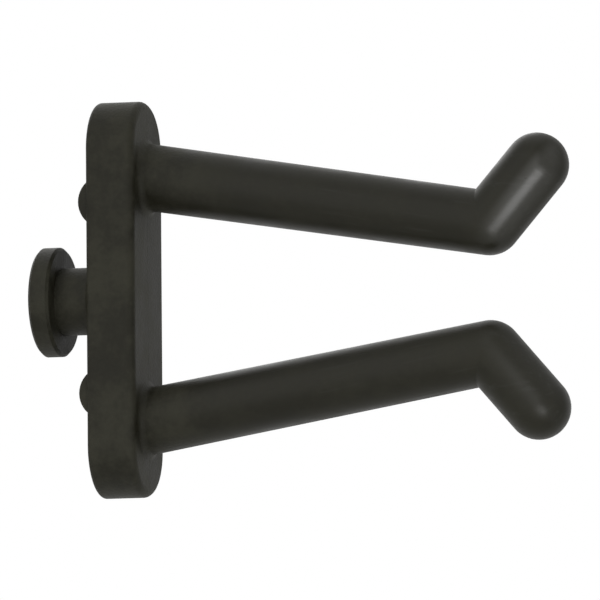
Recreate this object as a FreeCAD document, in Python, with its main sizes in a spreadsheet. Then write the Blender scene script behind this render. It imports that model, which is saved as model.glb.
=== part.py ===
import FreeCAD, Part
import Sketcher
import math
import os

# A double hook for a pegboard, moulded in one piece.
# A back bar stands upright against the board, a headed stud holds it there and two ribs steady it.
# Two round prongs run forward from the bar, draw together and end in tips that turn away from each other.
# X points away from the board, Y across the bar and Z up it.
# The origin is on the bar's back face, on the stud's axis.

doc = FreeCAD.newDocument("pegboard_hook")

# Driving sizes, in millimetres and degrees

SIZES = {
    "bar_width": 9.0,
    "bar_thickness": 4.5,
    "bar_overhang": 3.83,
    "front_rounding": 0.7,
    "back_rounding": 0.4,
    "root_diameter": 6.06,
    "prong_diameter": 5.8,
    "root_spacing": 22.15,
    "elbow_spacing": 11.62,
    "prong_reach": 32.2,
    "tip_angle": 48.8,
    "tip_length": 6.78,
    "root_fillet": 0.6,
    "neck_diameter": 6.1,
    "board_gap": 3.5,
    "head_diameter": 9.9,
    "head_thickness": 1.9,
    "neck_chamfer": 0.5,
    "rim_chamfer": 0.25,
    "rib_spacing": 17.3,
    "rib_breadth": 3.55,
    "rib_height": 0.8,
}

sheet = doc.addObject("Spreadsheet::Sheet", "Sizes")
for row, (name, size) in enumerate(SIZES.items(), 1):
    sheet.set("A%d" % row, name)
    sheet.set("B%d" % row, str(size))
    sheet.setAlias("B%d" % row, name)
doc.recompute()

body = doc.addObject("PartDesign::Body", "double_hook")
body.Label = "double_hook"

# Short ways to draw and build, each tied to the sheet by expressions

START, END, CENTRE = range(1, 4)
LEVEL_AXIS, UPRIGHT_AXIS = range(-1, -3, -1)
ORIGIN = (LEVEL_AXIS, START)
SAME_PLACE = 1e-4


def value(expression):
    """The number that an expression on the sheet comes to."""
    return float(sheet.evalExpression(expression))


def is_near(size, expression):
    """Whether a measured size is that of an expression."""
    return abs(size - value(expression)) < SAME_PLACE


def point(place):
    """A sketch point at a pair of expressions."""
    return FreeCAD.Vector(value(place[0]), value(place[1]), 0)


def origin_plane(role):
    """One of the body's own origin planes."""
    return next(plane for plane in body.Origin.OriginFeatures if plane.Role == role)


def new_sketch(name, role):
    """An empty sketch on one of the body's origin planes."""
    sketch = body.newObject("Sketcher::SketchObject", name)
    sketch.AttachmentSupport = [(origin_plane(role), "")]
    sketch.MapMode = "FlatFace"
    return sketch


def line(sketch, start, end):
    """A straight edge between two points, not yet constrained."""
    return sketch.addGeometry(Part.LineSegment(start, end))


def arc(sketch, centre, start, end):
    """An arc turned anticlockwise about a centre, not yet constrained."""
    spokes = [start - centre, end - centre]
    circle = Part.Circle(centre, FreeCAD.Vector(0, 0, 1), spokes[0].Length)
    angles = [math.atan2(spoke.y, spoke.x) for spoke in spokes]
    return sketch.addGeometry(Part.ArcOfCircle(circle, *angles))


def tie(sketch, kind, *geometry):
    """A constraint with no size, such as two ends that meet."""
    sketch.addConstraint(Sketcher.Constraint(kind, *geometry))


def measure(sketch, kind, *parts):
    """A dimension whose last part is an expression on the sheet."""
    *geometry, expression = parts
    index = sketch.addConstraint(Sketcher.Constraint(kind, *geometry, value(expression)))
    sketch.setExpression("Constraints[%d]" % index, expression)


def pin(sketch, curve, end, place):
    """Dimension one end of a curve from the origin, both ways."""
    measure(sketch, "DistanceX", *ORIGIN, curve, end, place[0])
    measure(sketch, "DistanceY", *ORIGIN, curve, end, place[1])


def add_feature(kind, name, **settings):
    """A feature of the body with its plain settings."""
    feature = body.newObject("PartDesign::" + kind, name)
    for setting, choice in settings.items():
        setattr(feature, setting, choice)
    return feature


def turn(name, sketch, axis):
    """A full turn of a half section about one of its own lines."""
    return add_feature("Revolution", name, Profile=sketch, ReferenceAxis=(sketch, [axis]), Angle=360)


def mirror(name, originals):
    """Repeat features of the upper half on the lower half."""
    doc.recompute()
    middle = (origin_plane("XY_Plane"), [""])
    body.Tip = add_feature("Mirrored", name, Originals=originals, MirrorPlane=middle)


def edges_where(is_wanted):
    """Those edges of the body so far that pass a test at a few points along them."""
    doc.recompute()
    points_along = 9
    edges = [
        "Edge%d" % index
        for index, edge in enumerate(body.Tip.Shape.Edges, 1)
        if not edge.Degenerated and all(map(is_wanted, edge.discretize(points_along)))
    ]
    return body.Tip, edges


def round_edges(name, is_wanted, radius):
    """Round the edges that pass a test."""
    add_feature("Fillet", name, Base=edges_where(is_wanted)).setExpression("Radius", radius)


def chamfer_edges(name, is_wanted, size):
    """Chamfer the edges that pass a test."""
    add_feature("Chamfer", name, Base=edges_where(is_wanted)).setExpression("Size", size)


# Back bar: straight, with full-round ends, and longer than the span of the prong roots

BAR_FRONT = "Sizes.bar_thickness"
INSIDE_BAR = "Sizes.bar_thickness / 2"
HALF_WIDTH = "Sizes.bar_width / 2"
HALF_LENGTH = "(Sizes.root_spacing + Sizes.root_diameter) / 2 + Sizes.bar_overhang"
END_CENTRE = "%s - %s" % (HALF_LENGTH, HALF_WIDTH)
top_centre = point(("0", END_CENTRE))
side_step = point((HALF_WIDTH, "0"))

outline = new_sketch("bar_outline", "YZ_Plane")
right_side = line(outline, side_step - top_centre, side_step + top_centre)
top_end = arc(outline, top_centre, top_centre + side_step, top_centre - side_step)
left_side = line(outline, top_centre - side_step, -top_centre - side_step)
bottom_end = arc(outline, -top_centre, -top_centre - side_step, side_step - top_centre)
around = [right_side, top_end, left_side, bottom_end]
for before, after in zip(around, around[1:] + around[:1]):
    tie(outline, "Tangent", before, END, after, START)
tie(outline, "Equal", top_end, bottom_end)
tie(outline, "PointOnObject", top_end, CENTRE, UPRIGHT_AXIS)
tie(outline, "Symmetric", top_end, CENTRE, bottom_end, CENTRE, *ORIGIN)
measure(outline, "Radius", top_end, HALF_WIDTH)
measure(outline, "DistanceY", *ORIGIN, top_end, CENTRE, END_CENTRE)

bar = add_feature("Pad", "bar", Profile=outline)
bar.setExpression("Length", BAR_FRONT)

# Bar edges: the ledge beside a prong has room for the front rounding and for the fillet at the prong's root
# Each may take just under half of the ledge

SHARE = 0.48
LEDGE_SHARE = "%g * (Sizes.bar_width - Sizes.root_diameter) / 2" % SHARE
FRONT_ROUNDING = "min(Sizes.front_rounding; %s)" % LEDGE_SHARE
ROOT_FILLET = "min(Sizes.root_fillet; %s)" % LEDGE_SHARE
round_edges("bar_front_rounding", lambda place: is_near(place.x, BAR_FRONT), FRONT_ROUNDING)
round_edges("bar_back_rounding", lambda place: is_near(place.x, "0"), "Sizes.back_rounding")

# Upper prong: a straight run that tapers slightly out to the elbow, and a tip turned away from the other one
# Both are round rods with a ball end, so the run's ball fills the outside of the elbow

ROOT_RADIUS = "Sizes.root_diameter / 2"
PRONG_RADIUS = "Sizes.prong_diameter / 2"
PRONG_SLOPE = "(Sizes.root_spacing - Sizes.elbow_spacing) / 2 / Sizes.prong_reach"
PRONG_START = (INSIDE_BAR, "Sizes.root_spacing / 2 + %s * %s" % (PRONG_SLOPE, INSIDE_BAR))
ELBOW = ("Sizes.bar_thickness + Sizes.prong_reach", "Sizes.elbow_spacing / 2")
TIP_CENTRE = (
    ELBOW[0] + " + Sizes.tip_length * cos(Sizes.tip_angle)",
    ELBOW[1] + " + Sizes.tip_length * sin(Sizes.tip_angle)",
)


def rod(name, start, start_radius, centre):
    """A rod from one place to the centre of its ball end, turned about its axis from a half section."""
    sketch = new_sketch(name + "_profile", "XZ_Plane")
    along = (point(centre) - point(start)).normalize()
    aside = FreeCAD.Vector(-along.y, along.x, 0)
    base_end = point(start) + aside * value(start_radius)
    wall_end = point(centre) + aside * value(PRONG_RADIUS)
    ball_end = point(centre) + along * value(PRONG_RADIUS)
    axis = line(sketch, ball_end, point(start))
    base = line(sketch, point(start), base_end)
    wall = line(sketch, base_end, wall_end)
    ball = arc(sketch, point(centre), ball_end, wall_end)
    pin(sketch, axis, END, start)
    pin(sketch, ball, CENTRE, centre)
    tie(sketch, "PointOnObject", ball, CENTRE, axis)
    tie(sketch, "Coincident", axis, END, base, START)
    tie(sketch, "Coincident", base, END, wall, START)
    tie(sketch, "Tangent", wall, END, ball, END)
    tie(sketch, "Coincident", ball, START, axis, START)
    tie(sketch, "Perpendicular", axis, base)
    measure(sketch, "Distance", base, start_radius)
    measure(sketch, "Radius", ball, PRONG_RADIUS)
    return turn(name, sketch, "Edge1")


run = rod("prong_run", PRONG_START, ROOT_RADIUS, ELBOW)
tip = rod("prong_tip", ELBOW, PRONG_RADIUS, TIP_CENTRE)

# Lower prong, and the fillets where both prongs leave the bar's front

mirror("lower_prong", [run, tip])


def is_on_prong_root(place):
    """Whether a place is on the line where a prong meets the bar's front face."""
    return is_near(place.x, BAR_FRONT) and abs(place.y) < value(ROOT_RADIUS) + SAME_PLACE


round_edges("prong_root_fillets", is_on_prong_root, ROOT_FILLET)

# Stud: a neck as long as the gap for the board and a flat round head, turned about the stud's axis

NECK_RADIUS = "Sizes.neck_diameter / 2"
HEAD_RADIUS = "Sizes.head_diameter / 2"
HEAD_FRONT = "-Sizes.board_gap"
HEAD_BACK = "-(Sizes.board_gap + Sizes.head_thickness)"
corners = [
    (HEAD_BACK, "0"),
    (INSIDE_BAR, "0"),
    (INSIDE_BAR, NECK_RADIUS),
    (HEAD_FRONT, NECK_RADIUS),
    (HEAD_FRONT, HEAD_RADIUS),
    (HEAD_BACK, HEAD_RADIUS),
]

half_stud = new_sketch("stud_profile", "XZ_Plane")
sides = [line(half_stud, point(start), point(end)) for start, end in zip(corners, corners[1:] + corners[:1])]
for side, corner in zip(sides, corners):
    pin(half_stud, side, START, corner)
for before, after in zip(sides, sides[1:] + sides[:1]):
    tie(half_stud, "Coincident", before, END, after, START)

turn("stud", half_stud, "Edge1")


def is_ring(radius, *places):
    """A test for round edges about the stud's axis, of one radius and at one of a few places along it."""
    def test(place):
        is_on_round = is_near(math.hypot(place.y, place.z), radius)
        return is_on_round and any(is_near(place.x, along) for along in places)
    return test


chamfer_edges("neck_chamfer", is_ring(NECK_RADIUS, "0"), "Sizes.neck_chamfer")
chamfer_edges("head_rim_chamfers", is_ring(HEAD_RADIUS, HEAD_FRONT, HEAD_BACK), "Sizes.rim_chamfer")

# Ribs: low and half round, across the flat of the back face above and below the stud

RIB_MIDDLE = "Sizes.rib_spacing / 2"
RIB_TOP = "%s + Sizes.rib_breadth / 2" % RIB_MIDDLE
RIB_BOTTOM = "%s - Sizes.rib_breadth / 2" % RIB_MIDDLE
RIB_RADIUS = "((Sizes.rib_breadth / 2) ^ 2 + Sizes.rib_height ^ 2) / (2 * Sizes.rib_height)"
RIB_CENTRE = ("%s - Sizes.rib_height" % RIB_RADIUS, RIB_MIDDLE)
FLAT_WIDTH = "Sizes.bar_width - 2 * Sizes.back_rounding"
rib_corners = [("0", RIB_BOTTOM), (INSIDE_BAR, RIB_BOTTOM), (INSIDE_BAR, RIB_TOP), ("0", RIB_TOP)]
places = [point(corner) for corner in rib_corners]

rib_section = new_sketch("rib_section", "XZ_Plane")
flats = [line(rib_section, *pair) for pair in zip(places, places[1:])]
crown = arc(rib_section, point(RIB_CENTRE), places[-1], places[0])
for flat, corner in zip(flats, rib_corners):
    pin(rib_section, flat, START, corner)
pin(rib_section, flats[-1], END, rib_corners[-1])
for before, after in zip(flats + [crown], flats[1:] + [crown, flats[0]]):
    tie(rib_section, "Coincident", before, END, after, START)
measure(rib_section, "Radius", crown, RIB_RADIUS)

rib = add_feature("Pad", "rib", Profile=rib_section, SideType="Symmetric")
rib.setExpression("Length", FLAT_WIDTH)
mirror("lower_rib", [rib])
doc.recompute()

# Check the finished hook and write it

for item in doc.Objects:
    if {"Invalid", "Error"} & set(item.State):
        raise RuntimeError("%s failed: %s" % (item.Name, item.getStatusString()))
hook = body.Shape
if hook.isNull() or not hook.isValid() or len(hook.Solids) != 1:
    raise RuntimeError("the hook is not one valid solid")
os.makedirs("parts", exist_ok=True)
hook.exportStep(os.path.join("parts", body.Label + ".step"))
box = hook.BoundBox
extents = (box.XLength, box.YLength, box.ZLength)
print("%s: %.1f x %.1f x %.1f mm, %.0f mm3" % (body.Label, *extents, hook.Volume))
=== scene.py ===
import math

import bpy
from mathutils import Matrix, Vector

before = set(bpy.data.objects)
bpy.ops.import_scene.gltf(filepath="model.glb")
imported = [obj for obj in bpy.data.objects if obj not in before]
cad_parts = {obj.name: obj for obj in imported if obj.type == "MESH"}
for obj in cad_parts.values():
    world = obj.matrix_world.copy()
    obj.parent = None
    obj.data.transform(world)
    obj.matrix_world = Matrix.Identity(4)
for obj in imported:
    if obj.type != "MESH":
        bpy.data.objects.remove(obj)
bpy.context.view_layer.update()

# Double hook: one injection moulding in warm black plastic, with bar, prongs, stud and ribs in one.
# The mould's walls give it a fine grain, and its two halves leave a thin line along the middle plane.
# The bar keeps a pale bloom. Tools have worn the prongs smoother, scuffed them and rubbed the tips.


class Shade:
    """One output of a node in a material. Arithmetic on it adds Math nodes."""

    def __init__(self, socket):
        self.socket = socket

    @staticmethod
    def node(tree, kind, inputs, output=0, **settings):
        """Add a node: first its settings, then a value or a link for each input."""
        made = tree.nodes.new("ShaderNode" + kind)
        for name, choice in settings.items():
            setattr(made, name, choice)
        for name, given in inputs.items():
            if isinstance(given, Shade):
                tree.links.new(given.socket, made.inputs[name])
            else:
                made.inputs[name].default_value = given
        return Shade(made.outputs[output])

    def maths(self, operation, first, second):
        return Shade.node(self.socket.id_data, "Math", {0: first, 1: second}, operation=operation)

    def __add__(self, other):
        return self.maths("ADD", self, other)

    def __radd__(self, other):
        return self.maths("ADD", other, self)

    def __sub__(self, other):
        return self.maths("SUBTRACT", self, other)

    def __rsub__(self, other):
        return self.maths("SUBTRACT", other, self)

    def __mul__(self, other):
        return self.maths("MULTIPLY", self, other)

    def __rmul__(self, other):
        return self.maths("MULTIPLY", other, self)

    def __abs__(self):
        return self.maths("ABSOLUTE", self, 0.0)


METRE = 1.0
MM = METRE / 1000

BAR_THICKNESS = 4.5 * MM
PRONG_REACH = 32.2 * MM
ROOT_SPACING = 22.15 * MM
ELBOW_SPACING = 11.62 * MM
ELBOW_REACH = BAR_THICKNESS + PRONG_REACH
ELBOW_HEIGHT = ELBOW_SPACING / 2
PRONG_SLOPE = (ROOT_SPACING - ELBOW_SPACING) / 2 / PRONG_REACH
TIP_LENGTH = 6.78 * MM
TIP_ANGLE = math.radians(48.8)

plastic = bpy.data.materials.new("moulded_black_plastic")
plastic.use_nodes = True
tree = plastic.node_tree
surface = tree.nodes["Principled BSDF"]
place = Shade.node(tree, "TexCoord", {}, output="Object")
forward = Shade.node(tree, "SeparateXYZ", {"Vector": place}, output="X")
across = Shade.node(tree, "SeparateXYZ", {"Vector": place}, output="Y")
upward = Shade.node(tree, "SeparateXYZ", {"Vector": place}, output="Z")

# The Mix node has sockets of the same names for numbers and for colours, so these are counted.
MIX_SHARE, MIX_FIRST, MIX_SECOND, MIX_RESULT = 0, 6, 7, 2
PLAIN_RAGGEDNESS = 0.5


def noise(where, size, detail, raggedness=PLAIN_RAGGEDNESS):
    """Soft noise between 0 and 1 with features of a given size."""
    inputs = {"Vector": where, "Scale": 1 / size, "Detail": detail, "Roughness": raggedness}
    return Shade.node(tree, "TexNoise", inputs)


def smooth_step(value, low, high):
    """0 below one value, 1 above another and a smooth change between them."""
    inputs = {"Value": value, "From Min": low, "From Max": high}
    return Shade.node(tree, "MapRange", inputs, interpolation_type="SMOOTHSTEP")


def blend(share, first, second):
    """A colour that goes from the first to the second as the share goes from 0 to 1."""
    inputs = {MIX_SHARE: share, MIX_FIRST: first, MIX_SECOND: second}
    return Shade.node(tree, "Mix", inputs, output=MIX_RESULT, data_type="RGBA")


# What the mould leaves: pale clouds, fine grain, slight waves and the line where its halves meet.
CLOUD_SIZE, CLOUD_DETAIL, CLOUD_RAGGEDNESS = 6 * MM, 4, 0.75
CLOUD_EDGE_LOW, CLOUD_EDGE_HIGH = 0.35, 0.65
GRAIN_SIZE, GRAIN_DETAIL = 0.25 * MM, 2
WAVE_SIZE, WAVE_DETAIL = 2.6 * MM, 1
SEAM_HALF_WIDTH = 0.07 * MM
SEAM_HALF_CREST = 0.2 * SEAM_HALF_WIDTH

cloud_noise = noise(place, CLOUD_SIZE, CLOUD_DETAIL, CLOUD_RAGGEDNESS)
clouds = smooth_step(cloud_noise, CLOUD_EDGE_LOW, CLOUD_EDGE_HIGH)
grain = noise(place, GRAIN_SIZE, GRAIN_DETAIL)
waves = noise(place, WAVE_SIZE, WAVE_DETAIL)
seam = 1 - smooth_step(abs(across), SEAM_HALF_CREST, SEAM_HALF_WIDTH)

# What use leaves: prongs worn smoother from the bar outwards, and tips rubbed on the front of their sides.
HANDLED_FROM, HANDLED_TO = 5 * MM, 14 * MM
RUBBED_FROM, RUBBED_TO = ELBOW_REACH - 1.5 * MM, ELBOW_REACH + 3.5 * MM
RUBBED_SIDE_FROM, RUBBED_SIDE_TO = 0.9 * MM, 2.2 * MM
RUBBED_FRONT_FROM, RUBBED_FRONT_TO = -0.3 * MM, 0.9 * MM
LOWER_TIP_SHARE = 0.3
HALF_CHANGE_BETWEEN_TIPS = 1 * MM

handled = smooth_step(forward, HANDLED_FROM, HANDLED_TO)
past_elbow = forward - ELBOW_REACH
out_from_elbow = abs(upward) - ELBOW_HEIGHT
before_tip = math.sin(TIP_ANGLE) * past_elbow - math.cos(TIP_ANGLE) * out_from_elbow
rubbed_front = smooth_step(before_tip, RUBBED_FRONT_FROM, RUBBED_FRONT_TO)
rubbed_side = smooth_step(abs(across), RUBBED_SIDE_FROM, RUBBED_SIDE_TO)
upper_tip = smooth_step(upward, -HALF_CHANGE_BETWEEN_TIPS, HALF_CHANGE_BETWEEN_TIPS)
tip_share = LOWER_TIP_SHARE + (1 - LOWER_TIP_SHARE) * upper_tip
rubbed = smooth_step(forward, RUBBED_FROM, RUBBED_TO) * rubbed_side * rubbed_front * tip_share

# Faint scuffs, long and thin along the prongs.
SCUFF_SIZE, SCUFF_DETAIL, SCUFF_STRETCH = 0.5 * MM, 2, 12
SCUFF_EDGE_LOW, SCUFF_EDGE_HIGH = 0.55, 0.8
SCUFFED_FROM, SCUFFED_TO = 12 * MM, 32 * MM

beside_prong = abs(upward) + PRONG_SLOPE * forward
stretched = {"X": forward * (1 / SCUFF_STRETCH), "Y": across, "Z": beside_prong}
scuff_noise = noise(Shade.node(tree, "CombineXYZ", stretched), SCUFF_SIZE, SCUFF_DETAIL)
scuffed_length = smooth_step(forward, SCUFFED_FROM, SCUFFED_TO)
scuffs = smooth_step(scuff_noise, SCUFF_EDGE_LOW, SCUFF_EDGE_HIGH) * scuffed_length

PLASTIC_COLOUR = (0.0076, 0.0070, 0.0030, 1)
PALER_PLASTIC = (0.0250, 0.0242, 0.0160, 1)
SCUFFED_PLASTIC = (0.0160, 0.0156, 0.0110, 1)
BLOOM_WORN_OFF = 0.75

bloom = clouds * (1 - BLOOM_WORN_OFF * handled)
colour = blend(scuffs, blend(bloom, PLASTIC_COLOUR, PALER_PLASTIC), SCUFFED_PLASTIC)
tree.links.new(colour.socket, surface.inputs["Base Color"])

ROUGHNESS = 0.6
ROUGHNESS_IN_CLOUDS = 0.1
ROUGHNESS_IN_GRAIN = 0.08
HANDLED_ROUGHNESS = 0.46
RUBBED_ROUGHNESS = 0.34
SCUFF_SMOOTHING = 0.06
NOISE_MIDDLE = 0.5
GLOSS_LEVEL = 0.17

in_clouds = ROUGHNESS_IN_CLOUDS * (clouds - NOISE_MIDDLE)
in_grain = ROUGHNESS_IN_GRAIN * (grain - NOISE_MIDDLE)
handling = (ROUGHNESS - HANDLED_ROUGHNESS) * handled
rubbing = (HANDLED_ROUGHNESS - RUBBED_ROUGHNESS) * rubbed
rough = ROUGHNESS + in_clouds + in_grain - handling - rubbing - SCUFF_SMOOTHING * scuffs
tree.links.new(rough.socket, surface.inputs["Roughness"])
surface.inputs["Specular IOR Level"].default_value = GLOSS_LEVEL

POLISH = 0.58
POLISH_ROUGHNESS = 0.31

tree.links.new((POLISH * rubbed).socket, surface.inputs["Coat Weight"])
surface.inputs["Coat Roughness"].default_value = POLISH_ROUGHNESS

GRAIN_DEPTH = 0.035 * MM
WAVE_DEPTH = 0.05 * MM
SEAM_HEIGHT = 0.03 * MM
GRAIN_WORN_OFF = 0.92
FULL_STRENGTH = 1.0

worn_grain = grain * (1 - GRAIN_WORN_OFF * handled)
relief = GRAIN_DEPTH * worn_grain + WAVE_DEPTH * waves + SEAM_HEIGHT * seam
bump = Shade.node(tree, "Bump", {"Height": relief, "Strength": FULL_STRENGTH, "Distance": METRE})
tree.links.new(bump.socket, surface.inputs["Normal"])

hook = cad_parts["double_hook"]
hook.material_slots[0].material = plastic

# Floor: a plain pale sheet well below the hook, lower than the place that the camera looks up from.
# It looks paler to the camera and in reflections, so that it runs into the white surroundings.

FLOOR_HEIGHT = -180 * MM
FLOOR_SIZE = 6 * METRE
FLOOR_COLOUR = (0.92, 0.92, 0.91, 1)
FLOOR_ROUGHNESS = 0.9
FLOOR_GLOW = 0.55


def background_ray(tree):
    """1 for a ray that shows the background: from the camera, in a gloss or through glass."""
    kinds = ("Is Camera Ray", "Is Glossy Ray", "Is Transmission Ray")
    shown = sum(Shade.node(tree, "LightPath", {}, output=kind) for kind in kinds)
    return Shade.node(tree, "Clamp", {"Value": shown})


bpy.ops.mesh.primitive_plane_add(size=FLOOR_SIZE)
floor = bpy.context.object
floor.name = "floor"
floor.data.transform(Matrix.Translation((0, 0, FLOOR_HEIGHT)))
paper = bpy.data.materials.new("pale_paper")
paper.use_nodes = True
sheet = paper.node_tree.nodes["Principled BSDF"]
sheet.inputs["Base Color"].default_value = FLOOR_COLOUR
sheet.inputs["Roughness"].default_value = FLOOR_ROUGHNESS
sheet.inputs["Emission Strength"].default_value = FLOOR_GLOW
paper.node_tree.links.new(background_ray(paper.node_tree).socket, sheet.inputs["Emission Color"])
floor.data.materials.append(paper)

# Surroundings: the white walls of a studio, out of focus and far away.
# They are white to the camera and in reflections, and give a low even light to everything else.

WHITE = (1, 1, 1, 1)
EVEN_LIGHT = 0.25

world = bpy.data.worlds.new("studio")
bpy.context.scene.world = world
world.use_nodes = True
background = world.node_tree.nodes["Background"]
background.inputs["Color"].default_value = WHITE
brightness = EVEN_LIGHT + (1 - EVEN_LIGHT) * background_ray(world.node_tree)
world.node_tree.links.new(brightness.socket, background.inputs["Strength"])

# Camera: beside the hook and a little below it, turned towards the prongs' ends, with a long lens.
# A mark between the prongs is seen at a known pixel of the picture, which sets where the middle is.

AZIMUTH, ELEVATION, ROLL = math.radians(17.35), math.radians(-4.87), math.radians(0.44)
DISTANCE = 1.4 * METRE
FRAME_WIDTH = 54 * MM
IMAGE_SIZE = 600
PIXEL = FRAME_WIDTH / IMAGE_SIZE
MIDDLE_PIXEL = IMAGE_SIZE / 2
MARK = Vector((18 * MM, 0, 0))
MARK_PIXEL_RIGHT, MARK_PIXEL_DOWN = 291.2, 294.5
SENSOR_WIDTH = 36
NEAREST, FARTHEST = 0.05 * METRE, 20 * METRE

level_right = Vector((math.cos(AZIMUTH), math.sin(AZIMUTH), 0))
back = Vector((
    math.sin(AZIMUTH) * math.cos(ELEVATION),
    -math.cos(AZIMUTH) * math.cos(ELEVATION),
    math.sin(ELEVATION),
))
level_up = back.cross(level_right)
right = math.cos(ROLL) * level_right - math.sin(ROLL) * level_up
up = math.sin(ROLL) * level_right + math.cos(ROLL) * level_up
pixels_right = MIDDLE_PIXEL - MARK_PIXEL_RIGHT
pixels_down = MIDDLE_PIXEL - MARK_PIXEL_DOWN
middle = MARK + PIXEL * (pixels_right * right - pixels_down * up)

lens = bpy.data.cameras.new("camera")
lens.sensor_width = SENSOR_WIDTH
lens.lens = SENSOR_WIDTH * DISTANCE / FRAME_WIDTH
lens.clip_start, lens.clip_end = NEAREST, FARTHEST
camera = bpy.data.objects.new("camera", lens)
bpy.context.scene.collection.objects.link(camera)
turned = Matrix((right, up, back)).transposed().to_4x4()
camera.matrix_world = Matrix.Translation(middle + DISTANCE * back) @ turned
bpy.context.scene.camera = camera

# Lights: a broad soft box above left of the camera, one overhead, and one behind for the far side.
# A small one, close to the hook and low in front, draws the line of light along the upper tip.

ABOVE_LEFT = 0.76 * back - 0.52 * right + 0.38 * up
OVERHEAD = Vector((0, 0, 1))
BEHIND = -0.85 * back - 0.35 * right + 0.4 * up
LOW_IN_FRONT = 0.88 * back + 0.11 * right - 0.41 * up
ACROSS_TIP = 0.77 * right - 0.63 * up
UPPER_TIP = Vector((
    ELBOW_REACH + TIP_LENGTH / 2 * math.cos(TIP_ANGLE),
    0,
    ELBOW_HEIGHT + TIP_LENGTH / 2 * math.sin(TIP_ANGLE),
))


def soft_box(name, target, direction, distance, width, height, power, level=right):
    """A lamp that faces a target from a direction, with its width along a given line."""
    facing = direction.normalized()
    side = (level - level.dot(facing) * facing).normalized()
    lamp = bpy.data.lights.new(name, "AREA")
    lamp.shape = "RECTANGLE"
    lamp.size, lamp.size_y = width, height
    lamp.energy = power
    box = bpy.data.objects.new(name, lamp)
    box.visible_camera = False
    bpy.context.scene.collection.objects.link(box)
    turned = Matrix((side, facing.cross(side), facing)).transposed().to_4x4()
    box.matrix_world = Matrix.Translation(target + distance * facing) @ turned


soft_box("main_light", MARK, ABOVE_LEFT, distance=0.6, width=0.85, height=0.85, power=2.4)
soft_box("top_light", MARK, OVERHEAD, distance=0.7, width=0.6, height=0.6, power=0.7)
soft_box("back_light", MARK, BEHIND, distance=0.7, width=0.6, height=0.6, power=1.4)
soft_box(
    "tip_light", UPPER_TIP, LOW_IN_FRONT,
    distance=0.08, width=0.04, height=0.03, power=0.0215, level=ACROSS_TIP,
)

bpy.context.scene.view_settings.view_transform = "Standard"
